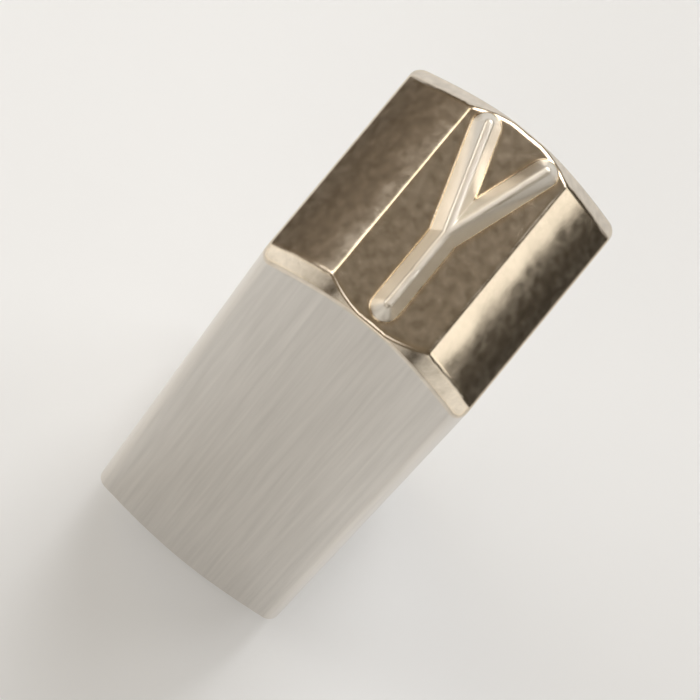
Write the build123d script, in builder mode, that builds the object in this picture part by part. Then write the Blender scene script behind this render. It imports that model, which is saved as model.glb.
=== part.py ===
from build123d import *

import os
from math import atan2, degrees, hypot, radians, tan

# Steel letter punch, one solid piece. Lengths are in millimetres, angles in degrees.
# The struck end stands on z = 0, the letter faces +Z and its top points to +Y.
LETTER_HEIGHT = 10.0
SHANK_WIDTH = 12.0
PUNCH_LENGTH = 63.0
SHANK_CORNER_RADIUS = 0.6
TUMBLED_RADIUS = 0.3

# Struck end: its corners and sides are turned back, so the blow lands near the axis.
STRUCK_SETBACK = 0.8
STRUCK_SLOPE = 40.0
STRUCK_EDGE_RADIUS = 0.3

# Crown: a cone turned on the bar, then a side ground off to the left and right of the letter.
# The ground sides are a little full: their slope is that of the chord, and the arc bulges out.
RIM_SETBACK = 0.1
CONE_HALF_ANGLE = 38.0
FIELD_WIDTH = 5.6
GROUND_SLOPE = 46.0
GROUND_RADIUS = 18.0
RIDGE_RADIUS = 0.5
RIM_EDGE_RADIUS = 0.3

# Letter: a stem and two arms with drafted flanks, round ends and a crest that is worn round.
LETTER_RELIEF = 0.95
LETTER_DRAFT = 30.0
LETTER_EDGE_RADIUS = 0.2
STROKE_WIDTH = 0.35
ARM_SPREAD = 3.4
STEM_LENGTH = 4.5

# The letter starts this far inside the crown, so that it joins it all round.
LETTER_EMBED = 0.1

# Derived sizes.
half_width = SHANK_WIDTH / 2
corner_distance = hypot(half_width, half_width)
field_z = PUNCH_LENGTH - LETTER_RELIEF
field_edge = FIELD_WIDTH / 2
rim_radius = half_width - RIM_SETBACK
struck_radius = half_width - STRUCK_SETBACK
cone_foot_z = field_z - (corner_distance - rim_radius) / tan(radians(CONE_HALF_ANGLE))
struck_slope_z = (corner_distance - struck_radius) * tan(radians(STRUCK_SLOPE))
ground_drop = (corner_distance - field_edge) * tan(radians(GROUND_SLOPE))
ground_middle_z = field_z - (half_width - field_edge) / 2 * tan(radians(GROUND_SLOPE))


def turned_bar():
    """Round bar with the struck end and the crown's cone turned on it."""
    with BuildPart() as bar:
        with BuildSketch(Plane.XZ):
            with BuildLine():
                Polyline(
                    (0, 0),
                    (struck_radius, 0),
                    (corner_distance, struck_slope_z),
                    (corner_distance, cone_foot_z),
                    (rim_radius, field_z),
                    (0, field_z),
                    close=True,
                )
            make_face()
        revolve(axis=Axis.Z)
    return bar.part


def raised_letter():
    """The Y, drawn at its face and widened downwards by the draft of its flanks."""
    end_y = (LETTER_HEIGHT - STROKE_WIDTH) / 2
    fork_y = STEM_LENGTH - LETTER_HEIGHT / 2
    stroke_ends = ((0, -end_y), (ARM_SPREAD / 2, end_y), (-ARM_SPREAD / 2, end_y))
    with BuildPart() as letter:
        with BuildSketch(Plane.XY.offset(PUNCH_LENGTH)):
            for x, y in stroke_ends:
                direction = degrees(atan2(y - fork_y, x))
                with Locations(Location((x / 2, (y + fork_y) / 2), direction)):
                    SlotCenterToCenter(hypot(x, y - fork_y), STROKE_WIDTH)
        extrude(amount=-(LETTER_RELIEF + LETTER_EMBED), taper=-LETTER_DRAFT)
    return letter.part


def is_on_side(edge):
    """Whether an edge lies in a side of the square bar or on one of its rounded corners."""
    middle = edge.center()
    return max(abs(middle.X), abs(middle.Y)) > half_width - SHANK_CORNER_RADIUS


blank = turned_bar()
letter = raised_letter()

with BuildPart() as letter_punch:
    # Square bar with the turned shape at both of its ends.
    with BuildSketch():
        RectangleRounded(SHANK_WIDTH, SHANK_WIDTH, SHANK_CORNER_RADIUS)
    extrude(amount=field_z)
    add(blank, mode=Mode.INTERSECT)

    # Sides ground to the left and right of the field.
    with BuildSketch(Plane.XZ):
        with BuildLine():
            ground_foot = (corner_distance, field_z - ground_drop)
            RadiusArc((field_edge, field_z), ground_foot, GROUND_RADIUS)
            Polyline(ground_foot, (corner_distance, field_z), (field_edge, field_z))
        make_face()
        mirror(about=Plane.YZ)
    extrude(amount=corner_distance, both=True, mode=Mode.SUBTRACT)

    # Rounded ridges where the ground sides meet the field.
    field_sides = letter_punch.edges().filter_by(Axis.Y).group_by(Axis.Z)[-1]
    fillet(field_sides, RIDGE_RADIUS)

    # Rim of the crown: the arcs of the field and the ends of the ridges and ground sides.
    rim = letter_punch.edges().filter_by(lambda edge: edge.center().Z > ground_middle_z)
    rim = rim.filter_by(GeomType.LINE, reverse=True).filter_by(GeomType.HYPERBOLA, reverse=True)
    fillet(rim, RIM_EDGE_RADIUS)

    # Tumbled edges where the turned ends and the ground sides run out on the square bar.
    curved = letter_punch.edges().filter_by(GeomType.LINE, reverse=True)
    curved = curved.filter_by(GeomType.CIRCLE, reverse=True)
    straight_feet = letter_punch.edges().filter_by(Axis.Y)
    fillet((curved + straight_feet).filter_by(is_on_side), TUMBLED_RADIUS)

    # Edge of the flat that takes the hammer.
    struck_edge = letter_punch.edges().filter_by(GeomType.CIRCLE).sort_by(Axis.Z)[0]
    fillet(struck_edge, STRUCK_EDGE_RADIUS)

    # Letter, with its crest worn round.
    add(letter)
    fillet(letter_punch.faces().sort_by(Axis.Z)[-1].edges(), LETTER_EDGE_RADIUS)

letter_punch.part.label = "letter_punch"

os.makedirs("parts", exist_ok=True)
export_step(letter_punch.part, "parts/letter_punch.step")
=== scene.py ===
from math import cos, pi, radians, sin, tan

import bpy
from mathutils import Matrix, Vector

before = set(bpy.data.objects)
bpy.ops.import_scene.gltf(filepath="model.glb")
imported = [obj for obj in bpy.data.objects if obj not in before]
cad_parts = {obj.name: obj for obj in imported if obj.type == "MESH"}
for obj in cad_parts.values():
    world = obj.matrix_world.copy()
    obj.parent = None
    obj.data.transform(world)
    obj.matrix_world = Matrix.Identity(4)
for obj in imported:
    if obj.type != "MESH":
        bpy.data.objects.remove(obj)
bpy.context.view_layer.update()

# Lengths are in metres.
# Camera, from the photo: on the side of the letter's foot, 16 degrees off the punch's axis, and
# rolled. It is placed from the middle of the face, and looks at a point on the axis.
VIEW_ELEVATION = radians(74.0)
VIEW_ROLL = radians(39.6)
FACE_CENTRE = Vector((0.0, 0.0, 0.062))
FACE_DISTANCE = 0.356
AIM_HEIGHT = 0.034
LENS_MM = 400.0
SENSOR_MM = 36.0
CLIP_START = 0.01
CLIP_END = 10.0

# Colours of the steel. The sides are drawn, the crown and the struck end are worked: turned,
# ground and tumbled. The pattern between these two values runs from dull to bright.
DULL_DRAWN = (0.6, 0.567, 0.52, 1.0)
BRIGHT_DRAWN = (0.78, 0.741, 0.688, 1.0)
DULL_WORKED = (0.61, 0.556, 0.485, 1.0)
BRIGHT_WORKED = (0.84, 0.771, 0.68, 1.0)
TONE_PATTERN = (0.22, 0.78)

# Tints over them, with their strength: a painted golden highlight along the edges, and the letter's
# own silvery colour.
PAINTED_EDGE_HIGHLIGHT_COLOUR = (0.86, 0.7, 0.48, 1.0)
PAINTED_EDGE_HIGHLIGHT_SHARE = 0.8
LETTER_COLOUR = (0.86, 0.83, 0.77, 1.0)
LETTER_TINT = 0.8

# A face is worked by how far it tilts from upright: the size of its normal's Z. The letter
# begins just above the face. At an edge, the rounded normal turns from the flat one by this cosine.
WORKED_TILT = (0.06, 0.35)
LETTER_FOOT = (0.06208, 0.0622)
EDGE_WIDTH = 0.0004
EDGE_COSINE = (1.0, 0.93)

# Noise patterns: scale and detail. The streaks are drawn out along the shank, in a turned
# lattice that lines up with no face.
STREAKS = (4600.0, 4.0)
STREAK_STRETCH = (1.0, 1.0, 0.015)
STREAK_TURN = (0.5, 0.6, 0.3)
MOTTLE = (1900.0, 3.0)
GRAIN = (9000.0, 2.0)
WAVES = (330.0, 1.0)

# Roughness by the pattern, and what worked faces and the letter add to it.
ROUGHNESS_PATTERN = (0.25, 0.75)
ROUGHNESS = (0.17, 0.24)
WORKED_ROUGHNESS = -0.045
LETTER_ROUGHNESS = 0.22

# Bumps: strength and distance. The waves are stronger on worked faces than on drawn sides.
WAVE_STRENGTH = (0.05, 0.22)
WAVE_DISTANCE = 0.0002
PATTERN_BUMP = (0.04, 0.000015)
GRAIN_BUMP = (0.04, 0.00002)
SOFT_RADIUS = 0.00012

# The board is a little cool, so that it looks nearly neutral under the warm lamps.
FLOOR_RADIUS = 0.9
FLOOR_CORNERS = 128
FLOOR_LIFT = 0.15
BOARD_COLOUR = (0.89, 0.92, 0.96, 1.0)
WHITE = (1.0, 1.0, 1.0, 1.0)

# The room is dim and warm, darker on the right, and darker towards the horizon.
ROOM_LEFT = (0.255, 0.2, 0.142, 1.0)
ROOM_MIDDLE = (0.215, 0.172, 0.12, 1.0)
ROOM_RIGHT = (0.085, 0.069, 0.049, 1.0)
ROOM_RISE = (0.0, 0.4)
ROOM_STRENGTH = (0.5, 1.0)

# Softboxes: azimuth from +X towards +Y, elevation, distance, size, brightness, colour.
# Brightness 1 reflects as white. A grid in front keeps each lamp's light to this half angle.
GRID_ANGLE = radians(34.0)
SOFTBOXES = {
    "key": (8.0, 19.5, 0.5, (0.42, 0.075), 2.0, (1.0, 0.93, 0.8)),
    "upper_right": (48.0, 40.0, 0.5, (0.24, 0.2), 3.4, (1.0, 0.98, 0.95)),
    "left": (186.0, 35.0, 0.6, (0.44, 0.26), 3.5, (1.0, 0.97, 0.91)),
    "ridge": (155.0, 46.0, 0.6, (0.16, 0.12), 3.0, (1.0, 0.86, 0.62)),
    "front": (-95.0, 52.0, 0.6, (0.36, 0.26), 2.0, (1.0, 0.97, 0.92)),
    "low_front": (-90.0, 0.0, 0.3, (0.3, 0.12), 1.0, (1.0, 0.96, 0.87)),
    "low_left": (-145.0, 0.0, 0.3, (0.24, 0.12), 1.0, (1.0, 0.96, 0.87)),
    "low_right": (-35.0, 0.0, 0.3, (0.24, 0.12), 1.0, (1.0, 0.96, 0.87)),
    "back": (108.0, 40.0, 0.6, (0.56, 0.4), 6.8, (1.0, 0.98, 0.95)),
}

# The main lamp, at the back, is aimed at the floor on the left. The others face the crown.
AIMS = {"back": Vector((-0.17, 0.02, 0.0))}

# Sockets of a Mix node by its data type: low, high and the result.
MIX_SOCKETS = {"FLOAT": (2, 3, 0), "RGBA": (6, 7, 2)}


def set_socket(tree, socket, value):
    """Links the socket to the value where that is a socket too, and sets it otherwise."""
    if isinstance(value, bpy.types.NodeSocket):
        tree.links.new(value, socket)
    else:
        socket.default_value = value


def empty_tree(owner):
    """Node tree of a material or world, with nothing in it."""
    owner.use_nodes = True
    owner.node_tree.nodes.clear()
    return owner.node_tree


def node_maker(tree):
    """Returns a function that adds a node to the tree and sets the sockets that are given."""

    def add(kind, **inputs):
        node = tree.nodes.new(kind)
        for name, value in inputs.items():
            set_socket(tree, node.inputs[name.replace("_", " ")], value)
        return node

    return add


def mix(tree, data_type, factor, low, high):
    """Number or colour between low and high; each of the three is a socket or a value."""
    node = tree.nodes.new("ShaderNodeMix")
    node.data_type = data_type
    low_socket, high_socket, result = MIX_SOCKETS[data_type]
    for index, value in ((0, factor), (low_socket, low), (high_socket, high)):
        set_socket(tree, node.inputs[index], value)
    return node.outputs[result]


def calculate(tree, operation, *values):
    """Result of a Math node; each value is a socket or a number."""
    node = tree.nodes.new("ShaderNodeMath")
    node.operation = operation
    for socket, value in zip(node.inputs, values):
        set_socket(tree, socket, value)
    return node.outputs[0]


def map_range(add, value, source, target=(0.0, 1.0)):
    """Value mapped from the source range onto the target range, and kept inside it."""
    return add(
        "ShaderNodeMapRange",
        Value=value,
        From_Min=source[0],
        From_Max=source[1],
        To_Min=target[0],
        To_Max=target[1],
    ).outputs["Result"]


def noise(add, place, settings):
    """Noise at the place, with a scale and a detail."""
    scale, detail = settings
    return add("ShaderNodeTexNoise", Vector=place, Scale=scale, Detail=detail).outputs["Fac"]


def painted_highlight_edges(tree, add):
    """1 along the edges and 0 on the flats, from how far a rounded normal turns away; this places
    the painted golden highlight.
    """
    product = tree.nodes.new("ShaderNodeVectorMath")
    product.operation = "DOT_PRODUCT"
    turned = add("ShaderNodeBevel", Radius=EDGE_WIDTH).outputs["Normal"]
    flat = add("ShaderNodeNewGeometry").outputs["Normal"]
    tree.links.new(turned, product.inputs[0])
    tree.links.new(flat, product.inputs[1])
    return map_range(add, product.outputs["Value"], EDGE_COSINE)


def worked_share(tree, add, normal):
    """0 on the drawn sides, which stand upright, and 1 on the turned and ground faces."""
    tilt = add("ShaderNodeSeparateXYZ", Vector=normal).outputs["Z"]
    return map_range(add, calculate(tree, "ABSOLUTE", tilt), WORKED_TILT)


def steel_colour(tree, add, pattern, worked, letter):
    """Dull to bright by the pattern, with a painted golden highlight along the edges, and silvery
    on the letter.
    """
    share = map_range(add, pattern, TONE_PATTERN)
    drawn_tone = mix(tree, "RGBA", share, DULL_DRAWN, BRIGHT_DRAWN)
    worked_tone = mix(tree, "RGBA", share, DULL_WORKED, BRIGHT_WORKED)
    tone = mix(tree, "RGBA", worked, drawn_tone, worked_tone)
    # Painted highlight: the edges get a brighter golden colour, as if the rims and ridges caught
    # the light.
    painted_highlight_share = calculate(tree, "MULTIPLY", painted_highlight_edges(tree, add), PAINTED_EDGE_HIGHLIGHT_SHARE)
    tone = mix(tree, "RGBA", painted_highlight_share, tone, PAINTED_EDGE_HIGHLIGHT_COLOUR)
    letter_tint = calculate(tree, "MULTIPLY", letter, LETTER_TINT)
    return mix(tree, "RGBA", letter_tint, tone, LETTER_COLOUR)


def steel_roughness(tree, add, pattern, worked, letter):
    """Roughness by the pattern, less on worked faces and more on the letter."""
    roughness = map_range(add, pattern, ROUGHNESS_PATTERN, ROUGHNESS)
    roughness = calculate(tree, "MULTIPLY_ADD", worked, WORKED_ROUGHNESS, roughness)
    return calculate(tree, "MULTIPLY_ADD", letter, LETTER_ROUGHNESS, roughness)


def steel_normal(add, place, pattern, worked):
    """Normal with softened edges, waves, the pattern and a fine grain."""
    wave_strength = map_range(add, worked, (0.0, 1.0), WAVE_STRENGTH)
    normal = add("ShaderNodeBevel", Radius=SOFT_RADIUS).outputs["Normal"]
    for height, strength, distance in (
        (noise(add, place, WAVES), wave_strength, WAVE_DISTANCE),
        (pattern, *PATTERN_BUMP),
        (noise(add, place, GRAIN), *GRAIN_BUMP),
    ):
        bump = add(
            "ShaderNodeBump", Strength=strength, Distance=distance, Height=height, Normal=normal
        )
        normal = bump.outputs["Normal"]
    return normal


def steel_material():
    """Bright steel: streaked on drawn sides, mottled on worked faces, matt on the letter."""
    material = bpy.data.materials.new("tumbled_steel")
    tree = empty_tree(material)
    add = node_maker(tree)
    coordinates = add("ShaderNodeTexCoord").outputs
    place = coordinates["Object"]
    worked = worked_share(tree, add, coordinates["Normal"])
    letter = map_range(add, add("ShaderNodeSeparateXYZ", Vector=place).outputs["Z"], LETTER_FOOT)

    lengthwise = add("ShaderNodeMapping", Vector=place, Scale=STREAK_STRETCH, Rotation=STREAK_TURN)
    streaks = noise(add, lengthwise.outputs["Vector"], STREAKS)
    pattern = mix(tree, "FLOAT", worked, streaks, noise(add, place, MOTTLE))

    shader = add(
        "ShaderNodeBsdfPrincipled",
        Base_Color=steel_colour(tree, add, pattern, worked, letter),
        Metallic=1.0,
        Roughness=steel_roughness(tree, add, pattern, worked, letter),
        Normal=steel_normal(add, place, pattern, worked),
    )
    add("ShaderNodeOutputMaterial", Surface=shader.outputs["BSDF"])
    return material


def floor_material():
    """Pale studio board, lifted towards white where the camera and the metal see it."""
    material = bpy.data.materials.new("pale_board")
    tree = empty_tree(material)
    add = node_maker(tree)
    board = add("ShaderNodeBsdfDiffuse", Color=BOARD_COLOUR)
    white = add("ShaderNodeEmission", Color=WHITE, Strength=1.0)
    ray = add("ShaderNodeLightPath").outputs
    seen = calculate(tree, "MAXIMUM", ray["Is Camera Ray"], ray["Is Glossy Ray"])
    seen = calculate(tree, "MAXIMUM", seen, ray["Is Transmission Ray"])
    lift = calculate(tree, "MULTIPLY", seen, FLOOR_LIFT)
    lifted = tree.nodes.new("ShaderNodeMixShader")
    for socket, value in zip(lifted.inputs, (lift, board.outputs[0], white.outputs[0])):
        set_socket(tree, socket, value)
    add("ShaderNodeOutputMaterial", Surface=lifted.outputs[0])
    return material


def add_floor():
    """The board that the punch stands on."""
    bpy.ops.mesh.primitive_circle_add(
        vertices=FLOOR_CORNERS, radius=FLOOR_RADIUS, fill_type="NGON"
    )
    floor = bpy.context.object
    floor.name = "floor"
    floor.data.materials.append(floor_material())


def add_softbox(name, azimuth, elevation, distance, size, brightness, colour):
    """A lamp aimed at the crown, or at the place that is given for it."""
    data = bpy.data.lights.new(name, "AREA")
    data.shape = "RECTANGLE"
    data.size, data.size_y = size
    data.spread = 2.0 * GRID_ANGLE
    # A narrow spread makes a lamp brighter straight ahead. This share takes that back.
    kept = 1.0 - GRID_ANGLE / tan(GRID_ANGLE)
    data.energy = brightness * kept * pi * size[0] * size[1]
    data.color = colour
    light = bpy.data.objects.new(name, data)
    bpy.context.collection.objects.link(light)
    a, e = radians(azimuth), radians(elevation)
    away = Vector((cos(a) * cos(e), sin(a) * cos(e), sin(e)))
    light.location = FACE_CENTRE + away * distance
    light.rotation_mode = "QUATERNION"
    backwards = light.location - AIMS.get(name, FACE_CENTRE)
    light.rotation_quaternion = backwards.to_track_quat("Z", "Y")


def add_world():
    """The dim room round the floor."""
    world = bpy.data.worlds.new("studio")
    bpy.context.scene.world = world
    tree = empty_tree(world)
    add = node_maker(tree)
    direction = add("ShaderNodeTexCoord").outputs["Generated"]
    parts = add("ShaderNodeSeparateXYZ", Vector=direction).outputs
    strength = map_range(add, parts["Z"], ROOM_RISE, ROOM_STRENGTH)
    to_left = map_range(add, parts["X"], (0.0, -1.0))
    to_right = map_range(add, parts["X"], (0.0, 1.0))
    left = mix(tree, "RGBA", to_left, ROOM_MIDDLE, ROOM_LEFT)
    room = mix(tree, "RGBA", to_right, left, ROOM_RIGHT)
    background = add("ShaderNodeBackground", Color=room, Strength=strength)
    add("ShaderNodeOutputWorld", Surface=background.outputs[0])


def add_camera():
    """The photo's view of the punch, aimed at the middle of what shows of it."""
    data = bpy.data.cameras.new("camera")
    data.lens = LENS_MM
    data.sensor_width = SENSOR_MM
    data.clip_start = CLIP_START
    data.clip_end = CLIP_END
    camera = bpy.data.objects.new("camera", data)
    bpy.context.collection.objects.link(camera)
    towards_camera = Vector((0.0, -cos(VIEW_ELEVATION), sin(VIEW_ELEVATION)))
    position = FACE_CENTRE + towards_camera * FACE_DISTANCE
    back = (position - Vector((0.0, 0.0, AIM_HEIGHT))).normalized()
    right = Vector((1.0, 0.0, 0.0))
    up = back.cross(right).normalized()
    rolled_right = right * cos(VIEW_ROLL) + up * sin(VIEW_ROLL)
    rolled_up = up * cos(VIEW_ROLL) - right * sin(VIEW_ROLL)
    turn = Matrix((rolled_right, rolled_up, back)).transposed()
    camera.matrix_world = Matrix.Translation(position) @ turn.to_4x4()
    bpy.context.scene.camera = camera


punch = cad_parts["letter_punch"]
punch.data.materials.clear()
punch.data.materials.append(steel_material())

add_floor()
add_world()
for name, settings in SOFTBOXES.items():
    add_softbox(name, *settings)
add_camera()

bpy.context.scene.view_settings.view_transform = "Standard"
